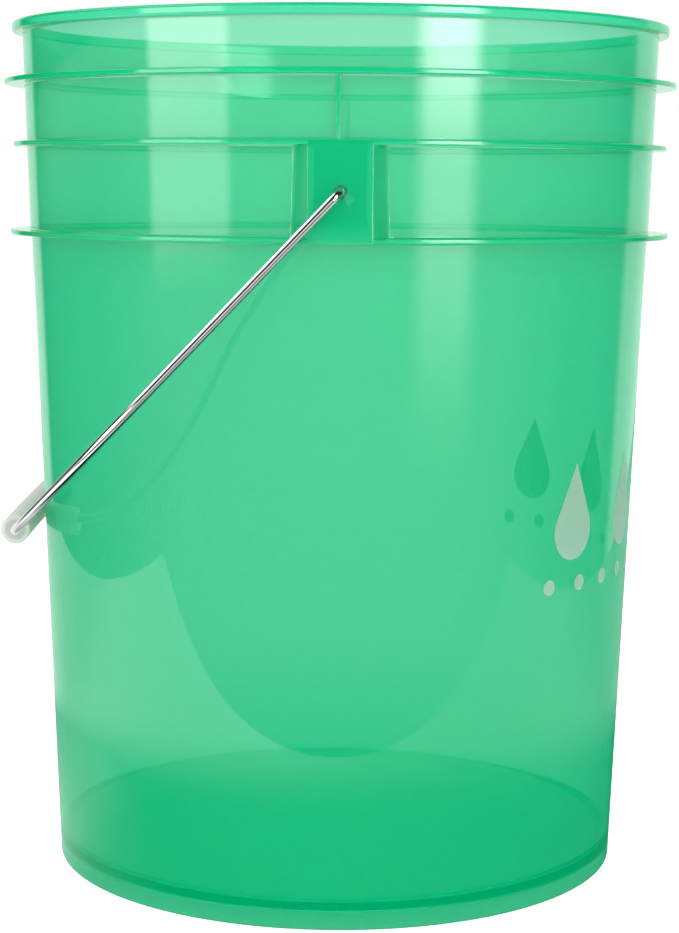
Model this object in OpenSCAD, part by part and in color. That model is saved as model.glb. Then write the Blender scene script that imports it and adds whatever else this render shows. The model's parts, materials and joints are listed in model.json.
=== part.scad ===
// Wash bucket, 5 US gallon size: a one-piece moulded bucket with a rolled rim,
// three stacking rings and two bail ears, a wire bail that swings on the ears,
// and a plastic tube grip that spins on the bail. The bucket stands on its foot
// ring at z = 0 with its axis on Z. The ears are at -Y and +Y, and the bail
// hangs down on the -X side.

/* [Bucket shell] */
// Height from the foot ring to the top of the rim
bucket_h = 375; // [360:1:390]
// Wall thickness of the shell and of the foot skirt
wall = 2.3; // [1.8:0.1:2.8]
// Outside diameter of the shell at the foot
foot_d = 255; // [250:1:260]
// Outside diameter of the shell just under the lowest ring
lower_top_d = 276.6; // [274:0.2:279]
// Outside diameter of the shell just over the lowest ring
upper_bottom_d = 277.6; // [275:0.2:280]
// Outside diameter of the shell under the rim
upper_top_d = 283.2; // [281:0.2:286]
// Height of the underside of the raised floor
floor_z = 8; // [5:0.5:12]
// Thickness of the raised floor
floor_t = 2.8; // [2:0.1:4]
// Radius of the inside corner between the floor and the wall
corner_r = 4; // [2:0.5:6]

/* [Rim and rings] */
// Outside diameter of the rolled rim
rim_d = 292; // [289:1:296]
// Height of the rolled rim
rim_h = 4.4; // [3:0.2:6]
// Radius of the rim's rounded edges
rim_edge_r = 1.2; // [0.6:0.1:1.4]
// Thickness of each stacking ring
ring_t = 2.1; // [1.6:0.1:3]
// Outside diameter of the top ring
top_ring_d = 299.2; // [296:0.2:302]
// Height of the middle of the top ring
top_ring_z = 349.2; // [344:0.2:354]
// Outside diameter of the middle ring
mid_ring_d = 292; // [289:0.2:294]
// Height of the middle of the middle ring
mid_ring_z = 322.1; // [318:0.1:326]
// Outside diameter of the lowest ring
low_ring_d = 295; // [292:0.2:297]
// Height of the middle of the lowest ring
low_ring_z = 283.8; // [280:0.2:287]

/* [Ears] */
// Height of the pivot holes in the ears
pivot_z = 303; // [300:0.5:306]
// Diameter of each pivot hole
pivot_hole_d = 5.6; // [5:0.1:6.5]
// Distance from the bucket's axis to the front of an ear panel
ear_front_r = 147.2; // [146.6:0.1:147.6]
// Width of an ear panel
ear_panel_w = 25.6; // [22:0.2:30]
// Width of an ear where its side walls reach the shell
ear_base_w = 38.4; // [34:0.2:44]
// Thickness of an ear panel
ear_panel_t = 2.2; // [1.8:0.1:2.4]
// Thickness of an ear's side walls
ear_side_t = 2; // [1.6:0.1:2.4]
// Thickness of the upright gusset over each ear
gusset_t = 2; // [1.4:0.1:3]
// Sideways offset of the gusset over the front ear
front_gusset_x = -1; // [-5:0.5:5]
// Sideways offset of the gusset over the back ear
back_gusset_x = 4; // [-5:0.5:5]

/* [Bail] */
// Diameter of the bail wire
wire_d = 3.8; // [3.4:0.1:4.2]
// Distance from the bucket's middle plane to the middle of a bail leg
leg_y = 152.4; // [152.2:0.1:156]
// Reach from the pivot to the middle of the wire in the grip
bail_reach = 201.2; // [196:0.2:206]
// Radius of the bail's two large corners
bail_corner_r = 92; // [80:1:92]
// Bend radius where a leg turns into its ear
leg_bend_r = 5; // [4.6:0.1:5]
// Distance from the bucket's middle plane to the middle of a hooked end
hook_y = 142.2; // [142:0.1:142.4]
// Bend radius of a hooked end
hook_bend_r = 3.4; // [3:0.1:3.4]
// Straight length of a hooked end past its bend
hook_tail = 3; // [1:0.5:4]

/* [Grip] */
// Length of the tube grip
grip_l = 118; // [90:1:118]
// Outside diameter of the tube grip
grip_d = 12.6; // [11:0.2:14]
// Inside diameter of the tube grip
grip_bore_d = 8.7; // [8:0.1:9]
// Chamfer on the ends of the tube grip
grip_chamfer = 0.6; // [0.2:0.1:0.8]
// Running gap between the grip and the wire or the shell
grip_gap = 0.35; // [0.3:0.05:0.6]

/* [Side print] */
// Thickness of the printed film
print_t = 0.15; // [0.1:0.05:0.3]
// Height of the middle of the large printed drops
print_z = 170; // [150:1:190]
// Radius of the round part of a large drop
drop_r = 12.5; // [8:0.5:14]
// Length of a large drop from its round end to its tip
drop_l = 41; // [30:1:44]
// Number of large drops in the row
drop_count = 5; // [2:1:6]
// Angle between two large drops
drop_pitch = 21; // [16:1:24]
// Height of the row of small bubbles under the drops
bubble_z = 139; // [120:1:146]
// Radius of a small bubble
bubble_r = 3.4; // [2:0.2:4]
// Number of small bubbles in the row
bubble_count = 12; // [4:1:14]

/* [Hidden] */
// Facet counts of the large rounds and of the small ones
round_fn = 180;
small_fn = 48;
// Overlap that makes two joined shapes one solid
join = 0.01;
// Overlap of the rings and ears with the shell
root_r = upper_bottom_d / 2 - 0.8;
// Slope of the lower shell: growth in radius for each unit of height
lower_z = low_ring_z;
lower_slope = (lower_top_d - foot_d) / 2 / lower_z;
// Distance that a cutting shape passes the solid that it cuts
past = 2;
// Middle of the tube grip, measured out from the pivot
grip_reach = bail_reach + (grip_bore_d - wire_d) / 2 - grip_gap;
// Angle of the bail below the horizontal where the grip rests beside the shell
slope_angle = atan(lower_slope);
slope_length = sqrt(1 + lower_slope * lower_slope);
shell_reach = (foot_d / 2 + lower_slope * pivot_z) / slope_length;
hang_angle = slope_angle + acos((shell_reach + grip_d / 2 + grip_gap) / grip_reach);
// Sideways growth of an ear's side walls for each unit of depth
ear_depth = ear_front_r - upper_bottom_d / 2;
ear_flare = (ear_base_w - ear_panel_w) / 2 / ear_depth;
// Sideways width of an ear's slanted side wall
ear_side_w = ear_side_t * sqrt(1 + ear_flare * ear_flare);
// Half length of the straight wire in the grip
top_half = leg_y - bail_corner_r;

// Outside radius of the lower shell at height z
function shell_r(z) = foot_d / 2 + lower_slope * z;

// Points on an arc about (x, y) from angle a to angle b
function arc(x, y, r, a, b, steps = 6) =
    [for (i = [0:steps]) [x + r * cos(a + (b - a) * i / steps),
                          y + r * sin(a + (b - a) * i / steps)]];

// Half section of the wall and the raised floor
module shell_section() {
    floor_top = floor_z + floor_t;
    inner_corner_x = shell_r(floor_top + corner_r) - wall - corner_r;
    polygon(concat(
        [[foot_d / 2 - wall + 0.5, 0],
         [foot_d / 2 - 0.6, 0],
         [foot_d / 2, 0.6],
         [lower_top_d / 2, low_ring_z],
         [upper_bottom_d / 2, low_ring_z],
         [upper_top_d / 2, bucket_h - rim_h / 2],
         [upper_top_d / 2 - join, bucket_h - join],
         [upper_top_d / 2 - wall, bucket_h - join],
         [upper_bottom_d / 2 - wall, low_ring_z + ring_t],
         [lower_top_d / 2 - wall, low_ring_z - ring_t]],
        arc(inner_corner_x, floor_top + corner_r, corner_r, 0, -90),
        [[0, floor_top],
         [0, floor_z],
         [foot_d / 2 - wall - 1, floor_z],
         [foot_d / 2 - wall, floor_z - 1]]
    ));
}

// Half section of the rolled rim, round at its corners
module rim_section() {
    outer = rim_d / 2 - rim_edge_r;
    inner = upper_top_d / 2 - wall + rim_edge_r;
    top = bucket_h - rim_edge_r;
    bottom = bucket_h - rim_h;
    polygon(concat(
        [[inner - rim_edge_r, bottom + past]],
        [[root_r + past, bottom]],
        arc(outer, bottom + rim_edge_r, rim_edge_r, -90, 0),
        arc(outer, top, rim_edge_r, 0, 90),
        arc(inner, top, rim_edge_r, 90, 180)
    ));
}

// One flat stacking ring
module stacking_ring(d, z) {
    translate([0, 0, z - ring_t / 2])
        difference() {
            cylinder(h = ring_t, d = d, $fn = round_fn);
            translate([0, 0, -past])
                cylinder(h = ring_t + 2 * past, r = root_r, $fn = round_fn);
        }
}

// Plan of an ear at -Y: front half width half_w, widening with the depth
module ear_plan(half_w, front_y) {
    back_y = root_r - past;
    back_half = half_w + ear_flare * (front_y - back_y);
    polygon([
        [-half_w, -front_y],
        [half_w, -front_y],
        [back_half, -back_y],
        [-back_half, -back_y]
    ]);
}

// Block of one ear, not yet hollowed
module ear_block() {
    bottom = low_ring_z - ring_t / 2;
    difference() {
        intersection() {
            translate([0, 0, bottom])
                linear_extrude(mid_ring_z - bottom)
                    ear_plan(ear_panel_w / 2, ear_front_r);
            cylinder(h = bucket_h, r = ear_front_r, $fn = round_fn);
        }
        cylinder(h = bucket_h, r = root_r, $fn = round_fn);
    }
}

// Hollow behind one ear's panel, open at the bottom
module ear_pocket() {
    bottom = low_ring_z - ring_t / 2 - past;
    top = mid_ring_z - ring_t / 2;
    intersection() {
        translate([0, 0, bottom])
            linear_extrude(top - bottom)
                ear_plan(ear_panel_w / 2 - ear_side_w, ear_front_r);
        cylinder(h = bucket_h, r = ear_front_r - ear_panel_t, $fn = round_fn);
    }
}

// Upright plate between the top and middle rings
module gusset(x) {
    depth = mid_ring_d / 2 - root_r;
    translate([x - gusset_t / 2, -mid_ring_d / 2 + join, mid_ring_z])
        cube([gusset_t, depth, top_ring_z - mid_ring_z]);
}

// Places a child at the front ear and a turned copy at the back ear
module at_both_ears() {
    children();
    rotate([0, 0, 180])
        children();
}

module bucket() {
    color([0.02, 0.72, 0.44, 0.6]) {
        rotate_extrude($fn = round_fn)
            shell_section();
        rotate_extrude($fn = round_fn)
            rim_section();
        difference() {
            union() {
                stacking_ring(top_ring_d, top_ring_z);
                stacking_ring(mid_ring_d, mid_ring_z);
                stacking_ring(low_ring_d, low_ring_z);
                at_both_ears()
                    ear_block();
                gusset(front_gusset_x);
                rotate([0, 0, 180])
                    gusset(-back_gusset_x);
            }
            at_both_ears()
                ear_pocket();
            translate([0, ear_front_r + past, pivot_z])
                rotate([90, 0, 0])
                    cylinder(h = 2 * (ear_front_r + past), d = pivot_hole_d, $fn = small_fn);
        }
    }
}

// A quarter bend of wire in the plane of X and Y about the origin
module wire_bend(r) {
    rotate_extrude(angle = 90, $fn = round_fn)
        translate([r, 0])
            circle(d = wire_d, $fn = small_fn);
}

// A straight wire from point a along one axis, turned by the angles given
module wire_run(a, turn, length) {
    translate(a)
        rotate(turn)
            cylinder(h = length, d = wire_d, $fn = small_fn);
}

// Half of the bail on the +Y side, lying flat and reaching towards -X
module bail_half() {
    leg_end = bail_reach - bail_corner_r;
    // Straight wire through half of the grip
    wire_run([-bail_reach, 0, 0], [-90, 0, 0], top_half);
    // Large corner
    translate([-leg_end, top_half, 0])
        rotate([0, 0, 90])
            wire_bend(bail_corner_r);
    // Straight leg
    wire_run([-leg_end, leg_y, 0], [0, 90, 0], leg_end - leg_bend_r);
    // Bend into the ear
    translate([-leg_bend_r, leg_y - leg_bend_r, 0])
        wire_bend(leg_bend_r);
    // Pivot length through the ear panel
    wire_run([0, hook_y + hook_bend_r, 0], [-90, 0, 0], leg_y - leg_bend_r - hook_y - hook_bend_r);
    // Hooked end behind the panel
    translate([0, hook_y + hook_bend_r, -hook_bend_r])
        rotate([0, 90, 0])
            rotate([0, 0, 180])
                wire_bend(hook_bend_r);
    wire_run([0, hook_y, -hook_bend_r], [180, 0, 0], hook_tail);
}

// Turns a flat bail to the angle at which it hangs on the ears
module hang() {
    translate([0, 0, pivot_z])
        rotate([0, -hang_angle, 0])
            children();
}

module bail_wire() {
    color([0.8, 0.81, 0.83])
        hang() {
            bail_half();
            mirror([0, 1, 0])
                bail_half();
        }
}

module handle_grip() {
    inner = grip_bore_d / 2;
    outer = grip_d / 2;
    half = grip_l / 2;
    color([0.9, 0.91, 0.87, 0.85])
        hang()
            translate([-grip_reach, 0, 0])
                rotate([90, 0, 0])
                    rotate_extrude($fn = small_fn)
                        polygon([
                            [inner, -half],
                            [outer - grip_chamfer, -half],
                            [outer, grip_chamfer - half],
                            [outer, half - grip_chamfer],
                            [outer - grip_chamfer, half],
                            [inner, half]
                        ]);
}

// A drop: a round end with two tangent lines that meet at its tip
module drop_shape(r, length) {
    tip = length - r;
    lean = asin(r / tip);
    polygon(concat(arc(0, 0, r, 180 - lean, 360 + lean, 28), [[0, tip]]));
}

// Sends a flat shape out through the shell at an angle round the axis and a height
module stamp(angle, z) {
    rotate([0, 0, angle])
        translate([foot_d / 4, 0, z])
            rotate([90, 0, 90])
                linear_extrude(foot_d / 2)
                    children();
}

// The lower shell as a solid cone, thickened by t, with its seam away from the print
module shell_cone(t) {
    rotate([0, 0, 180])
        cylinder(h = lower_z, r1 = shell_r(0) + t, r2 = shell_r(lower_z) + t, $fn = round_fn);
}

// A flat shape printed on the shell at an angle round the axis and a height
module printed(angle, z) {
    difference() {
        intersection() {
            stamp(angle, z)
                children();
            shell_cone(print_t);
        }
        shell_cone(0);
    }
}

module side_print() {
    bubble_pitch = drop_pitch * drop_count / bubble_count;
    color([0.88, 0.95, 0.9]) {
        for (i = [0:drop_count - 1])
            printed((i - (drop_count - 1) / 2) * drop_pitch, print_z - drop_l / 2 + drop_r)
                drop_shape(drop_r, drop_l);
        for (i = [0:bubble_count - 1])
            printed((i - (bubble_count - 1) / 2) * bubble_pitch, bubble_z)
                circle(r = bubble_r, $fn = small_fn);
    }
}

bucket();
bail_wire();
handle_grip();
side_print();
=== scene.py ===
"""Wash bucket: the looks. Everything is in metres, in the CAD model's frame."""
import json
import math

import bpy
import bmesh
from mathutils import Matrix, Vector


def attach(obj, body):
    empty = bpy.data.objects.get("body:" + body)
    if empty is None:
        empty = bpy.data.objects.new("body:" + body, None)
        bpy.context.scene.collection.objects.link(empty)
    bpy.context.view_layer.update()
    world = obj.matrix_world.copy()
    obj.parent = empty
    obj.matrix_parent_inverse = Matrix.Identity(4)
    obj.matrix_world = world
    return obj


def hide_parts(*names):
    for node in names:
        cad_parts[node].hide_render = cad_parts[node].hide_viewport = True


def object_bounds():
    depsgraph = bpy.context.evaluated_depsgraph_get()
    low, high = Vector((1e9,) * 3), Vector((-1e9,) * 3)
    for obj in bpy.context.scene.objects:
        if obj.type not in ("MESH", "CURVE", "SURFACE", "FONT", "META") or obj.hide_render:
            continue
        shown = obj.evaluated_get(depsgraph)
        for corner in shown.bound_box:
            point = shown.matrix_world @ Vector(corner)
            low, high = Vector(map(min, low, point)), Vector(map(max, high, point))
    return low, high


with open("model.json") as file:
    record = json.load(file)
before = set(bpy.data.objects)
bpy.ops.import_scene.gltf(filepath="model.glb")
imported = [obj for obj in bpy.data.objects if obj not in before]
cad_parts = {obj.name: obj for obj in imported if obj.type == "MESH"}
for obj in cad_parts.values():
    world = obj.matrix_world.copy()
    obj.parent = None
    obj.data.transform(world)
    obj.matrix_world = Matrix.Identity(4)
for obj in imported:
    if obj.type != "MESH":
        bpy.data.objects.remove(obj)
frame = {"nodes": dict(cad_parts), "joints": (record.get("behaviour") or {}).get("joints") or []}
cad_low, cad_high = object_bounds()
MM = 0.001

# ---------------------------------------------------------------- the bucket's sizes
WALL = 2.3 * MM
HEIGHT = cad_high.z
FOOT_R = 127.5 * MM
LOWER_TOP_R = 138.3 * MM
UPPER_BOTTOM_R = 138.8 * MM
UPPER_TOP_R = 141.6 * MM
FLOOR_Z = 8.0 * MM
FLOOR_T = 2.8 * MM
CORNER_R = 4.0 * MM
RIM_R = 146.0 * MM
RIM_H = 4.4 * MM
RING_T = 2.1 * MM
# Each stacking ring: outside radius and height of its middle, from the lowest up
RINGS = [(147.5 * MM, 283.8 * MM), (146.0 * MM, 322.1 * MM), (149.6 * MM, 349.2 * MM)]
SPLIT_Z = RINGS[0][1]
SEGMENTS = 360

joints = {j["name"]: j for j in frame["joints"]}
PIVOT = Vector(joints["bail_swing"]["pos_m"])
GRIP_CENTRE = Vector(joints["grip_spin"]["pos_m"])

EAR_FRONT_R = 147.2 * MM
# Only in the looks, to bring out the light and dark parts of an ear: the CAD model has no lean and
# no fillet, and its pocket widens at the same rate as the ear's outside
EAR_LEAN = 0.5 * MM
EAR_FILLET_R = 1.5 * MM
POCKET_FLARE = 1.3
EAR_CORNER_R = 0.9 * MM
POCKET_CORNER_R = 0.8 * MM
# Depth of the ears and gussets in the shell, and how far a cutting shape passes what it cuts
ROOT_DEPTH = 0.8 * MM
PAST = 2 * MM
EAR_PANEL_W = 25.6 * MM
EAR_BASE_W = 38.4 * MM
EAR_PANEL_T = 2.2 * MM
EAR_SIDE_T = 2.0 * MM
HOLE_R = 2.8 * MM
GUSSET_T = 2.0 * MM
GUSSET_X = {"front": -1.0 * MM, "back": 4.0 * MM}

WIRE_R = 1.9 * MM
LEG_Y = 152.4 * MM
BAIL_CORNER_R = 92.0 * MM
LEG_BEND_R = 5.0 * MM
HOOK_Y = 142.2 * MM
HOOK_BEND_R = 3.4 * MM
HOOK_TAIL = 3.0 * MM
GRIP_L = 118.0 * MM
GRIP_R = 6.3 * MM
GRIP_BORE_R = 4.35 * MM
GRIP_GAP = 0.35 * MM


# ---------------------------------------------------------------- shape helpers
def lower_r(z):
    """Outside radius of the lower shell at height z."""
    return FOOT_R + (LOWER_TOP_R - FOOT_R) * z / SPLIT_Z


def upper_r(z):
    """Outside radius of the upper shell at height z."""
    share = (z - SPLIT_Z) / (HEIGHT - SPLIT_Z)
    return UPPER_BOTTOM_R + (UPPER_TOP_R - UPPER_BOTTOM_R) * share


def rounded(corners, closed=True, steps=6):
    """An outline through corners (x, y, radius), each rounded by an arc of its radius."""
    out = []
    count = len(corners)
    for i, (x, y, radius) in enumerate(corners):
        here = Vector((x, y))
        if radius <= 0 or (not closed and i in (0, count - 1)):
            out.append(here)
            continue
        before = (Vector(corners[i - 1][:2]) - here).normalized()
        after = (Vector(corners[(i + 1) % count][:2]) - here).normalized()
        half = before.angle(after) / 2
        reach = radius / math.tan(half)
        centre = here + (before + after).normalized() * radius / math.sin(half)
        start = here + before * reach - centre
        turn = -math.copysign(math.pi - 2 * half, before.cross(after))
        for k in range(steps + 1):
            a = turn * k / steps
            spun = Vector((start.x * math.cos(a) - start.y * math.sin(a),
                           start.x * math.sin(a) + start.y * math.cos(a)))
            out.append(centre + spun)
    return out


def mesh_object(name, bm):
    """A linked object made from a bmesh, with its normals facing out."""
    bmesh.ops.recalc_face_normals(bm, faces=bm.faces)
    mesh = bpy.data.meshes.new(name)
    bm.to_mesh(mesh)
    bm.free()
    obj = bpy.data.objects.new(name, mesh)
    bpy.context.scene.collection.objects.link(obj)
    return obj


def revolve(name, profile, segments):
    """A closed solid: an outline (r, z), whose ends may lie on the axis, turned about Z."""
    bm = bmesh.new()
    columns = []
    for r, z in profile:
        if r < 1e-9:
            columns.append([bm.verts.new((0, 0, z))] * segments)
            continue
        ring = []
        for i in range(segments):
            a = 2 * math.pi * i / segments
            ring.append(bm.verts.new((r * math.cos(a), r * math.sin(a), z)))
        columns.append(ring)
    loops = list(zip(columns, columns[1:] + columns[:1]))
    for low, high in loops:
        for i in range(segments):
            j = (i + 1) % segments
            corners = []
            for v in (low[i], low[j], high[j], high[i]):
                if v not in corners:
                    corners.append(v)
            if len(corners) > 2:
                bm.faces.new(corners)
    return mesh_object(name, bm)


def loft(name, low, z_low, high, z_high):
    """A closed solid between two flat outlines of the same number of points."""
    bm = bmesh.new()
    bottom = [bm.verts.new((x, y, z_low)) for x, y in low]
    top = [bm.verts.new((x, y, z_high)) for x, y in high]
    bm.faces.new(bottom)
    bm.faces.new(top)
    count = len(bottom)
    for i in range(count):
        j = (i + 1) % count
        bm.faces.new((bottom[i], bottom[j], top[j], top[i]))
    return mesh_object(name, bm)


def combine(base, tool, operation):
    """Joins a closed tool to the base, or cuts it away, and removes the tool."""
    step = base.modifiers.new(operation.lower(), "BOOLEAN")
    step.object = tool
    step.operation = operation
    step.solver = "MANIFOLD"
    apply_modifiers(base)
    bpy.data.objects.remove(tool)


def apply_modifiers(obj):
    """Turns an object's modifiers into its mesh."""
    bpy.context.view_layer.update()
    graph = bpy.context.evaluated_depsgraph_get()
    mesh = bpy.data.meshes.new_from_object(obj.evaluated_get(graph))
    obj.modifiers.clear()
    obj.data = mesh


def smooth(obj, degrees):
    """Smooth shading with sharp edges over an angle, weighted so that flat faces stay flat."""
    obj.data.shade_smooth()
    obj.data.set_sharp_from_angle(angle=math.radians(degrees))
    weights = obj.modifiers.new("weights", "WEIGHTED_NORMAL")
    weights.keep_sharp = True
    apply_modifiers(obj)


# ---------------------------------------------------------------- the moulded bucket
def shell_outline():
    """Half section of the whole moulding without its ears, from the floor's middle and round."""
    floor_top = FLOOR_Z + FLOOR_T
    edge = 0.5 * MM
    root = 0.7 * MM
    corners = [
        (0, floor_top, 0),
        (lower_r(floor_top) - WALL, floor_top, CORNER_R),
        (LOWER_TOP_R - WALL, SPLIT_Z - RING_T, 2 * MM),
        (UPPER_BOTTOM_R - WALL, SPLIT_Z + RING_T, 2 * MM),
        (UPPER_TOP_R - WALL, HEIGHT, 1.2 * MM),
        (RIM_R, HEIGHT, 1.4 * MM),
        (RIM_R, HEIGHT - RIM_H, 1.2 * MM),
        (upper_r(HEIGHT - RIM_H), HEIGHT - RIM_H, root),
    ]
    for ring_r, z in reversed(RINGS):
        over, under = z + RING_T / 2, z - RING_T / 2
        wall_under = lower_r(under) if z == SPLIT_Z else upper_r(under)
        corners += [
            (upper_r(over), over, root),
            (ring_r, over, edge),
            (ring_r, under, edge),
            (wall_under, under, root),
        ]
    corners += [
        (FOOT_R, 0, 0.8 * MM),
        (FOOT_R - WALL + 0.5 * MM, 0, 0.5 * MM),
        (lower_r(FLOOR_Z) - WALL, FLOOR_Z, 1.5 * MM),
        (0, FLOOR_Z, 0),
    ]
    return rounded(corners)


def arc_points(radius, half_width, steps=12):
    """Points on a circle about the axis, across the -Y side, from -X to +X."""
    half = math.asin(half_width / radius)
    turns = [half * (2 * k / steps - 1) for k in range(steps + 1)]
    return [(radius * math.sin(a), -radius * math.cos(a)) for a in turns]


def ear_outline(half_front, front_r, root_r, corner_r, flare, lean=0.0, shell_r=None):
    """Plan of an ear on the -Y side: a curved front and two slanted sides down to root_r. lean
    moves the front out without widening the root, and shell_r gives the sides a fillet there."""
    front = arc_points(front_r + lean, half_front)
    root_half = half_front + flare * (front_r - root_r)
    corners = [(*front[0], corner_r)]
    corners += [(x, y, 0) for x, y in front[2:-2]]
    corners += [(*front[-1], corner_r)]
    if shell_r is None:
        corners += [(x, y, 0) for x, y in reversed(arc_points(root_r, root_half))]
        return rounded(corners)
    foot_half = half_front + flare * (front_r - shell_r)
    foot = arc_points(shell_r + 0.02 * MM, foot_half)
    toe = arc_points(shell_r - 0.1 * MM, foot_half + EAR_FILLET_R)
    corners += [(*foot[-1], EAR_FILLET_R), (*toe[-1], 0)]
    corners += [(x, y, 0) for x, y in reversed(arc_points(root_r, root_half))]
    corners += [(*toe[0], 0), (*foot[0], EAR_FILLET_R)]
    return rounded(corners)


def add_ear(bucket, side):
    """Adds one ear with its gusset to the bucket: side is "front" at -Y or "back" at +Y."""
    turn = Matrix.Rotation(math.pi if side == "back" else 0, 4, "Z")
    flare = (EAR_BASE_W - EAR_PANEL_W) / 2 / (EAR_FRONT_R - UPPER_BOTTOM_R)
    side_w = EAR_SIDE_T * math.sqrt(1 + flare * flare)
    low_z, mid_z = RINGS[0][1] - RING_T / 2, RINGS[1][1]
    root_r = UPPER_BOTTOM_R - ROOT_DEPTH
    half_w = EAR_PANEL_W / 2
    block_low = ear_outline(half_w, EAR_FRONT_R, root_r, EAR_CORNER_R, flare,
                            EAR_LEAN, upper_r(low_z))
    block_high = ear_outline(half_w, EAR_FRONT_R, root_r, EAR_CORNER_R, flare,
                             -EAR_LEAN, upper_r(mid_z))
    block = loft("ear_block", block_low, low_z + 0.02 * MM, block_high, mid_z)
    half = half_w - side_w
    inner_r = EAR_FRONT_R - EAR_PANEL_T
    clear = 0.04 * MM
    pocket_top_z = mid_z - RING_T / 2
    pocket_low = ear_outline(half, inner_r, UPPER_BOTTOM_R + clear, POCKET_CORNER_R,
                             POCKET_FLARE, EAR_LEAN)
    pocket_high = ear_outline(half, inner_r, upper_r(pocket_top_z) + clear, POCKET_CORNER_R,
                              POCKET_FLARE, -EAR_LEAN)
    pocket = loft("ear_pocket", pocket_low, low_z - PAST, pocket_high, pocket_top_z)
    hole_plan = [(HOLE_R * math.cos(math.pi * k / 32), HOLE_R * math.sin(math.pi * k / 32))
                 for k in range(64)]
    hole = loft("ear_hole", hole_plan, 0, hole_plan, 8 * MM)
    hole.data.transform(Matrix.Translation((0, -inner_r + PAST, PIVOT.z))
                        @ Matrix.Rotation(math.pi / 2, 4, "X"))
    x = GUSSET_X[side] * (-1 if side == "back" else 1)
    x_low, x_high = x - GUSSET_T / 2, x + GUSSET_T / 2
    front_y, back_y = -(RINGS[1][0] - 0.3 * MM), -root_r - 1 * MM
    plate_plan = rounded([(x_low, front_y, 0.5 * MM), (x_high, front_y, 0.5 * MM),
                          (x_high, back_y, 0), (x_low, back_y, 0)])
    plate = loft("gusset", plate_plan, mid_z, plate_plan, RINGS[2][1])
    steps = ((block, "UNION"), (plate, "UNION"), (pocket, "DIFFERENCE"), (hole, "DIFFERENCE"))
    for piece, operation in steps:
        piece.data.transform(turn)
        combine(bucket, piece, operation)


def make_bucket():
    bucket = revolve("moulded_bucket", shell_outline(), SEGMENTS)
    add_ear(bucket, "front")
    add_ear(bucket, "back")
    smooth(bucket, 32)
    return bucket


# ---------------------------------------------------------------- the bail and its grip
def hang_matrix():
    """Turns shapes made flat, reaching along -X from the origin, to the bail's place at rest."""
    out = GRIP_CENTRE - PIVOT
    angle = math.atan2(-out.z, -out.x)
    return Matrix.Translation(PIVOT) @ Matrix.Rotation(-angle, 4, "Y")


def bend(centre, start, end, steps):
    """Points on a quarter circle about centre from start to end, without the first one."""
    a, b = Vector(start) - Vector(centre), Vector(end) - Vector(centre)
    turns = [math.pi / 2 * k / steps for k in range(1, steps + 1)]
    return [Vector(centre) + a * math.cos(t) + b * math.sin(t) for t in turns]


def bail_path():
    """Middle line of the flat bail, from the front hook to the back hook."""
    reach = (GRIP_CENTRE - PIVOT).length - (GRIP_BORE_R - WIRE_R) + GRIP_GAP
    leg_end = reach - BAIL_CORNER_R
    top_half = LEG_Y - BAIL_CORNER_R
    turn_y = LEG_Y - LEG_BEND_R
    half = [Vector((0, HOOK_Y, -HOOK_BEND_R - HOOK_TAIL)), Vector((0, HOOK_Y, -HOOK_BEND_R))]
    hook_centre = (0, HOOK_Y + HOOK_BEND_R, -HOOK_BEND_R)
    half += bend(hook_centre, half[-1], (0, HOOK_Y + HOOK_BEND_R, 0), 10)
    half += [Vector((0, turn_y, 0))]
    half += bend((-LEG_BEND_R, turn_y, 0), half[-1], (-LEG_BEND_R, LEG_Y, 0), 12)
    half += [Vector((-LEG_BEND_R - (leg_end - LEG_BEND_R) * k / 6, LEG_Y, 0)) for k in range(1, 7)]
    half += bend((-leg_end, top_half, 0), half[-1], (-reach, top_half, 0), 40)
    half += [Vector((-reach, top_half * (1 - k / 4), 0)) for k in range(1, 4)]
    other = [Vector((p.x, -p.y, p.z)) for p in half]
    return other + [Vector((-reach, 0, 0))] + half[::-1]


def sweep(name, path, radius, sides):
    """A closed round wire along a path, with a small chamfer at its ends."""
    bm = bmesh.new()
    rings = []
    normal = Vector((0, 0, 1))
    stations = [(path[0], 0, 0.7), (path[0], 0.3 * MM, 1)]
    stations += [(p, 0, 1) for p in path[1:-1]]
    stations += [(path[-1], -0.3 * MM, 1), (path[-1], 0, 0.7)]
    ends = {0: (path[0], path[1]), len(stations) - 1: (path[-2], path[-1])}
    ends[1], ends[len(stations) - 2] = ends[0], ends[len(stations) - 1]
    for i, (p, shift, share) in enumerate(stations):
        if i in ends:
            along = (ends[i][1] - ends[i][0]).normalized()
        else:
            along = (stations[i + 1][0] - stations[i - 1][0]).normalized()
        normal = normal - along * normal.dot(along)
        if normal.length < 1e-6:
            normal = along.orthogonal()
        normal.normalize()
        across = along.cross(normal)
        ring = []
        for k in range(sides):
            a = 2 * math.pi * k / sides
            out = normal * math.cos(a) + across * math.sin(a)
            ring.append(bm.verts.new(p + along * shift + out * radius * share))
        rings.append(ring)
    for a, b in zip(rings, rings[1:]):
        for k in range(sides):
            j = (k + 1) % sides
            bm.faces.new((a[k], a[j], b[j], b[k]))
    bm.faces.new(rings[0])
    bm.faces.new(rings[-1])
    return mesh_object(name, bm)


def make_bail():
    wire = sweep("plated_bail", bail_path(), WIRE_R, 32)
    wire.data.transform(hang_matrix())
    smooth(wire, 40)
    return wire


def make_grip():
    half = GRIP_L / 2
    round_off = 0.7 * MM
    profile = rounded([(GRIP_BORE_R, -half, 0.3 * MM), (GRIP_R, -half, round_off),
                       (GRIP_R, half, round_off), (GRIP_BORE_R, half, 0.3 * MM)])
    grip = revolve("tube_grip", profile, 96)
    reach = (GRIP_CENTRE - PIVOT).length
    grip.data.transform(hang_matrix() @ Matrix.Translation((-reach, 0, 0))
                        @ Matrix.Rotation(math.pi / 2, 4, "X"))
    smooth(grip, 40)
    return grip


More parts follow.
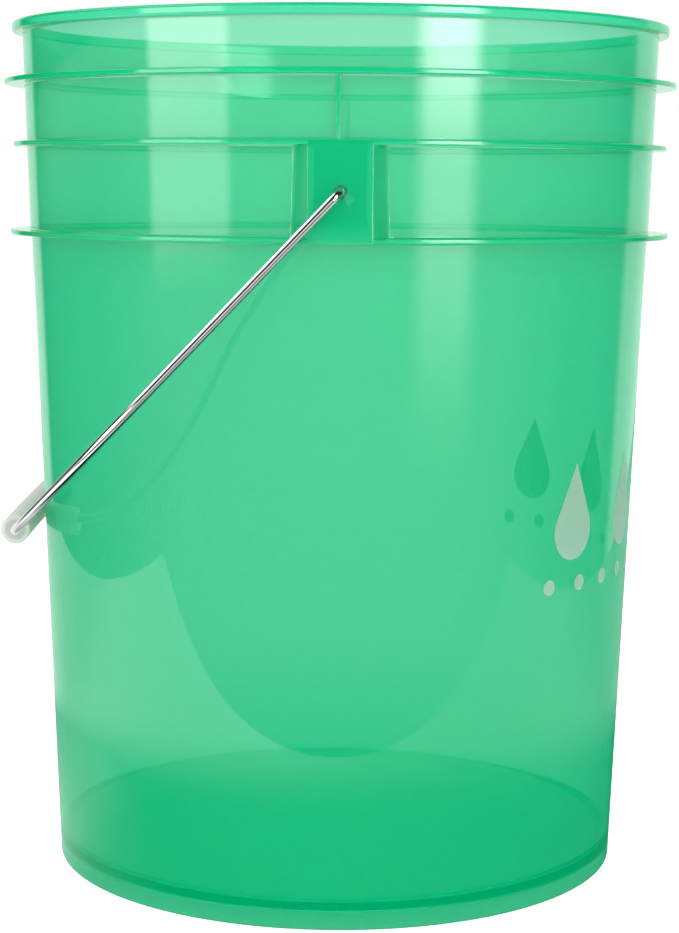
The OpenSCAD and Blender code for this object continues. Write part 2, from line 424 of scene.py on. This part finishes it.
# ---------------------------------------------------------------- materials
def new_material(name):
    """A material with one Principled shader: itself, its nodes, its links and that shader."""
    material = bpy.data.materials.new(name)
    material.use_nodes = True
    nodes, links = material.node_tree.nodes, material.node_tree.links
    return material, nodes, links, nodes["Principled BSDF"]


def noise(nodes, links, scale, detail=4, stretch=(1, 1, 1)):
    """Noise in object space, in waves per metre."""
    place = nodes.new("ShaderNodeTexCoord")
    mapping = nodes.new("ShaderNodeMapping")
    mapping.inputs["Scale"].default_value = stretch
    texture = nodes.new("ShaderNodeTexNoise")
    texture.inputs["Scale"].default_value = scale
    texture.inputs["Detail"].default_value = detail
    links.new(place.outputs["Object"], mapping.inputs["Vector"])
    links.new(mapping.outputs["Vector"], texture.inputs["Vector"])
    return texture.outputs["Fac"]


def bump(nodes, links, shader, height, strength, distance):
    """Fine relief on a shader's normal."""
    node = nodes.new("ShaderNodeBump")
    node.inputs["Strength"].default_value = strength
    node.inputs["Distance"].default_value = distance
    links.new(height, node.inputs["Height"])
    links.new(node.outputs["Normal"], shader.inputs["Normal"])


def set_inputs(shader, **values):
    """Sets a shader's inputs by name, with _ for each space."""
    for name, value in values.items():
        shader.inputs[name.replace("_", " ")].default_value = value


def blend(nodes, links, shader, kind, color, share):
    """Makes the surface a mix of the shader and a share of a second one."""
    other = nodes.new(kind)
    other.inputs["Color"].default_value = color
    mix = nodes.new("ShaderNodeMixShader")
    mix.inputs["Fac"].default_value = share
    links.new(shader.outputs["BSDF"], mix.inputs[1])
    links.new(other.outputs["BSDF"], mix.inputs[2])
    links.new(mix.outputs["Shader"], nodes["Material Output"].inputs["Surface"])


def clear_green_plastic():
    """Clear green plastic, a little cloudy: the clear share takes its colour from the depth of
    plastic that light crosses, and the cloudy share glows with the light around it."""
    material, nodes, links, shader = new_material("clear_green_plastic")
    set_inputs(shader, Base_Color=(0.95, 0.985, 0.96, 1), Roughness=0.02, IOR=1.49,
               Transmission_Weight=1.0)
    bump(nodes, links, shader, noise(nodes, links, 38, 2, (1, 1, 0.35)), 0.05, 0.4 * MM)
    absorb = nodes.new("ShaderNodeVolumeAbsorption")
    absorb.inputs["Color"].default_value = (0.03, 0.96, 0.8, 1)
    absorb.inputs["Density"].default_value = 200
    links.new(absorb.outputs["Volume"], nodes["Material Output"].inputs["Volume"])
    blend(nodes, links, shader, "ShaderNodeBsdfDiffuse", (0.0, 0.75, 0.32, 1), 0.38)
    return material


def plated_wire():
    """Bright plated steel wire with faint drawing lines."""
    material, nodes, links, shader = new_material("plated_wire")
    set_inputs(shader, Base_Color=(0.62, 0.62, 0.63, 1), Metallic=1.0, Roughness=0.12)
    bump(nodes, links, shader, noise(nodes, links, 60, 3), 0.15, 0.5 * MM)
    return material


def frosted_tube():
    """Natural plastic tube, milky and half clear."""
    material, nodes, links, shader = new_material("frosted_tube")
    set_inputs(shader, Base_Color=(0.97, 0.97, 0.95, 1), Roughness=0.3, IOR=1.5,
               Transmission_Weight=0.5)
    bump(nodes, links, shader, noise(nodes, links, 220, 3), 0.15, 0.2 * MM)
    blend(nodes, links, shader, "ShaderNodeBsdfTranslucent", (0.97, 0.97, 0.94, 1), 0.4)
    return material


def printed_ink():
    """Pale ink, thin enough to let light and some green through."""
    material, nodes, links, shader = new_material("printed_ink")
    set_inputs(shader, Base_Color=(0.66, 0.82, 0.76, 1), Roughness=0.5, Alpha=0.6)
    bump(nodes, links, shader, noise(nodes, links, 900, 2), 0.1, 0.05 * MM)
    blend(nodes, links, shader, "ShaderNodeBsdfTranslucent", (0.6, 0.85, 0.72, 1), 0.35)
    return material


# ---------------------------------------------------------------- the set
def math_node(nodes, links, operation, *values):
    """A Math node on sockets or numbers."""
    node = nodes.new("ShaderNodeMath")
    node.operation = operation
    for socket, value in zip(node.inputs, values):
        if isinstance(value, (int, float)):
            socket.default_value = value
        else:
            links.new(value, socket)
    return node.outputs[0]


def soft_step(nodes, links, value, low, high):
    """0 under low, 1 over high and smooth between them. With low over high it falls."""
    node = nodes.new("ShaderNodeMapRange")
    node.interpolation_type = "SMOOTHSTEP"
    rising = low < high
    node.inputs["From Min"].default_value = min(low, high)
    node.inputs["From Max"].default_value = max(low, high)
    node.inputs["To Min"].default_value = 0 if rising else 1
    node.inputs["To Max"].default_value = 1 if rising else 0
    links.new(value, node.inputs["Value"])
    return node.outputs["Result"]


# What gloss mirrors, in degrees round from -Y (positive towards +X) and up from the horizon: left
# and right edges, their softness, the soft ranges of the lower and upper edges, and brightness.
MIRRORED = {
    "room_high": (-130, 105, 20, -5, 0, 1.0, 1.5, 0.8),
    "camera_side": (-76, 70, 28, -20, -15.5, 1.0, 1.5, 1.0),
    "floor_in_front": (-90, 90, 10, -91, -90, -32, -24, 0.5),
    "overhead_left": (-140, -48, 6, 28, 34, 70, 80, 3.0),
    "left_softbox": (-70.5, -39.5, 2.5, -7, -3.6, 12, 18, 5.5),
    "left_softbox_top": (-70.5, -39.5, 2.5, -2.5, 0.5, 12, 18, 3.0),
    "right_softbox": (28, 48, 4.5, -12.5, -3, 25, 35, 6.5),
    "right_softbox_top": (28, 48, 4.5, -3.5, 1, 25, 35, 12.5),
    "backdrop_left": (-181, -146, 3, -91, -90, 91, 92, 1.2),
    "backdrop_right": (130, 181, 4, -91, -90, 91, 92, 1.2),
}
# Brightness that gloss mirrors everywhere else
MIRRORED_DARK = 0.04


def make_world():
    """White to the eye all round, brighter from the front for matt surfaces. Gloss mirrors a
    studio with two softboxes and dark sides."""
    world = bpy.data.worlds.new("white_studio")
    bpy.context.scene.world = world
    world.use_nodes = True
    nodes, links = world.node_tree.nodes, world.node_tree.links
    place = nodes.new("ShaderNodeTexCoord")
    split = nodes.new("ShaderNodeSeparateXYZ")
    links.new(place.outputs["Generated"], split.inputs[0])
    x, y, z = split.outputs
    behind = math_node(nodes, links, "MULTIPLY", y, -1.0)
    turn = math_node(nodes, links, "DEGREES", math_node(nodes, links, "ARCTAN2", x, behind))
    up = math_node(nodes, links, "DEGREES", math_node(nodes, links, "ARCSINE", z))
    mirrored = None
    for left, right, soft, foot, full, fade, top, level in MIRRORED.values():
        window = math_node(nodes, links, "MULTIPLY",
                           soft_step(nodes, links, turn, left - soft, left + soft),
                           soft_step(nodes, links, turn, right + soft, right - soft))
        window = math_node(nodes, links, "MULTIPLY", window, soft_step(nodes, links, up, foot, full))
        window = math_node(nodes, links, "MULTIPLY", window, soft_step(nodes, links, up, top, fade))
        window = math_node(nodes, links, "MULTIPLY", window, level)
        mirrored = window if mirrored is None else math_node(nodes, links, "ADD", mirrored, window)
    mirrored = math_node(nodes, links, "ADD", mirrored, MIRRORED_DARK)
    path = nodes.new("ShaderNodeLightPath")
    # A refracted ray counts as glossy too, and must see white like the eye
    reflected = math_node(nodes, links, "SUBTRACT", path.outputs["Is Glossy Ray"],
                          path.outputs["Is Transmission Ray"])
    front_light = math_node(nodes, links, "MULTIPLY", soft_step(nodes, links, behind, 0.5, 1), 2.2)
    front_light = math_node(nodes, links, "SUBTRACT", front_light, 0.3)
    front_light = math_node(nodes, links, "MULTIPLY", front_light, path.outputs["Is Diffuse Ray"])
    mix = nodes.new("ShaderNodeMix")
    mix.data_type = "FLOAT"
    links.new(math_node(nodes, links, "ADD", front_light, 1.0), mix.inputs["A"])
    links.new(mirrored, mix.inputs["B"])
    links.new(reflected, mix.inputs["Factor"])
    background = nodes["Background"]
    background.inputs["Color"].default_value = (1, 1, 1, 1)
    links.new(mix.outputs["Result"], background.inputs["Strength"])


def flat_sheet(name, x0, x1, y0, y1):
    """A level sheet at the height the bucket stands on."""
    bm = bmesh.new()
    bm.faces.new([bm.verts.new(p) for p in ((x0, y0, 0), (x1, y0, 0), (x1, y1, 0), (x0, y1, 0))])
    sheet = mesh_object(name, bm)
    return sheet


def distance_from_axis(nodes, links):
    """How far a point of a sheet on the floor is from the bucket's axis, and its x and y."""
    place = nodes.new("ShaderNodeTexCoord")
    reach = nodes.new("ShaderNodeVectorMath")
    reach.operation = "LENGTH"
    links.new(place.outputs["Object"], reach.inputs[0])
    split = nodes.new("ShaderNodeSeparateXYZ")
    links.new(place.outputs["Object"], split.inputs[0])
    return reach.outputs["Value"], split.outputs["X"], split.outputs["Y"]


def pale_floor():
    """Matt white with a glow that is the same all over but weaker under the bucket, as painted
    shade, and stronger to the eye.
    """
    material, nodes, links, shader = new_material("pale_floor")
    set_inputs(shader, Base_Color=(0.9, 0.9, 0.9, 1), Roughness=0.9, Specular_IOR_Level=0.0,
               Emission_Color=(1, 1, 1, 1))
    reach, _, _ = distance_from_axis(nodes, links)
    path = nodes.new("ShaderNodeLightPath")
    seen = math_node(nodes, links, "MULTIPLY", path.outputs["Is Camera Ray"], 0.6)
    # The glow drops within the bucket's foot: painted shade under the bucket
    glow_with_painted_shade = math_node(nodes, links, "MULTIPLY", soft_step(nodes, links, reach, 0.1, 0.15), 0.15)
    glow_with_painted_shade = math_node(nodes, links, "ADD", glow_with_painted_shade, 0.1)
    links.new(math_node(nodes, links, "ADD", seen, glow_with_painted_shade), shader.inputs["Emission Strength"])
    return material


def mirrored_table():
    """The white table top as gloss mirrors it, a sheet that glows as painted light: brighter in
    front and to the left, with painted shade close in front of the bucket and behind it.
    """
    material, nodes, links, shader = new_material("mirrored_table")
    set_inputs(shader, Base_Color=(0, 0, 0, 1), Specular_IOR_Level=0.0, Emission_Color=(1, 1, 1, 1))
    reach, x, y = distance_from_axis(nodes, links)
    # away is 0 near the bucket's axis: painted shade of the bucket on the table
    away = soft_step(nodes, links, reach, 0.25, 0.38)
    leftward = soft_step(nodes, links, x, 0.2, -0.2)
    beside = math_node(nodes, links, "MULTIPLY", soft_step(nodes, links, y, -0.14, 0.0), 0.4)
    beside = math_node(nodes, links, "MULTIPLY", beside, leftward)
    away = math_node(nodes, links, "MAXIMUM", away, beside)
    # Brighter in front and to the left: painted light falling on the table
    front = math_node(nodes, links, "MULTIPLY", soft_step(nodes, links, y, 0.2, -0.1), 1.4)
    level = math_node(nodes, links, "ADD", front, 0.9)
    side = math_node(nodes, links, "ADD", math_node(nodes, links, "MULTIPLY", leftward, 0.65), 0.55)
    level = math_node(nodes, links, "MULTIPLY", level, side)
    links.new(math_node(nodes, links, "MULTIPLY", away, level), shader.inputs["Emission Strength"])
    return material


def make_floor():
    """A white floor for the eye, and the white table top that gloss mirrors."""
    floor = flat_sheet("studio_floor", -6, 6, -6, 6)
    floor.data.materials.append(pale_floor())
    floor.visible_glossy = False
    table = flat_sheet("studio_table", -0.69, 0.67, -0.34, 3)
    table.data.materials.append(mirrored_table())
    table.visible_camera = table.visible_diffuse = table.visible_transmission = False
    table.visible_shadow = table.visible_volume_scatter = False


def make_camera():
    """The photo's camera, fitted to the outlines of the bucket in it."""
    data = bpy.data.cameras.new("camera")
    camera = bpy.data.objects.new("camera", data)
    bpy.context.scene.collection.objects.link(camera)
    data.sensor_width = 36
    data.lens = 84.1
    camera.location = (-0.0015, -0.995, 0.308)
    pitch, yaw, roll = 0.1313, -0.0024, 0.008
    aim = (Matrix.Rotation(yaw, 4, "Z") @ Matrix.Rotation(math.pi / 2 - pitch, 4, "X")
           @ Matrix.Rotation(roll, 4, "Z"))
    camera.rotation_euler = aim.to_euler()
    bpy.context.scene.camera = camera


# ---------------------------------------------------------------- assembly
def finish_piece(piece, body, node, material):
    """Gives a piece its material and tells the frame what it stands for."""
    piece.data.materials.clear()
    piece.data.materials.append(material)
    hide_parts(node)
    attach(piece, body)


finish_piece(make_bucket(), "bucket_body", "bucket", clear_green_plastic())
finish_piece(make_bail(), "bail", "bail_wire", plated_wire())
finish_piece(make_grip(), "grip", "handle_grip", frosted_tube())
print_node = frame["nodes"]["side_print"]
print_node.data.materials.clear()
print_node.data.materials.append(printed_ink())

make_world()
make_floor()
make_camera()

scene = bpy.context.scene
scene.view_settings.view_transform = "Standard"
scene.cycles.use_denoising = True
scene.cycles.max_bounces = 40
scene.cycles.transmission_bounces = 40
scene.cycles.glossy_bounces = 12
scene.cycles.transparent_max_bounces = 16
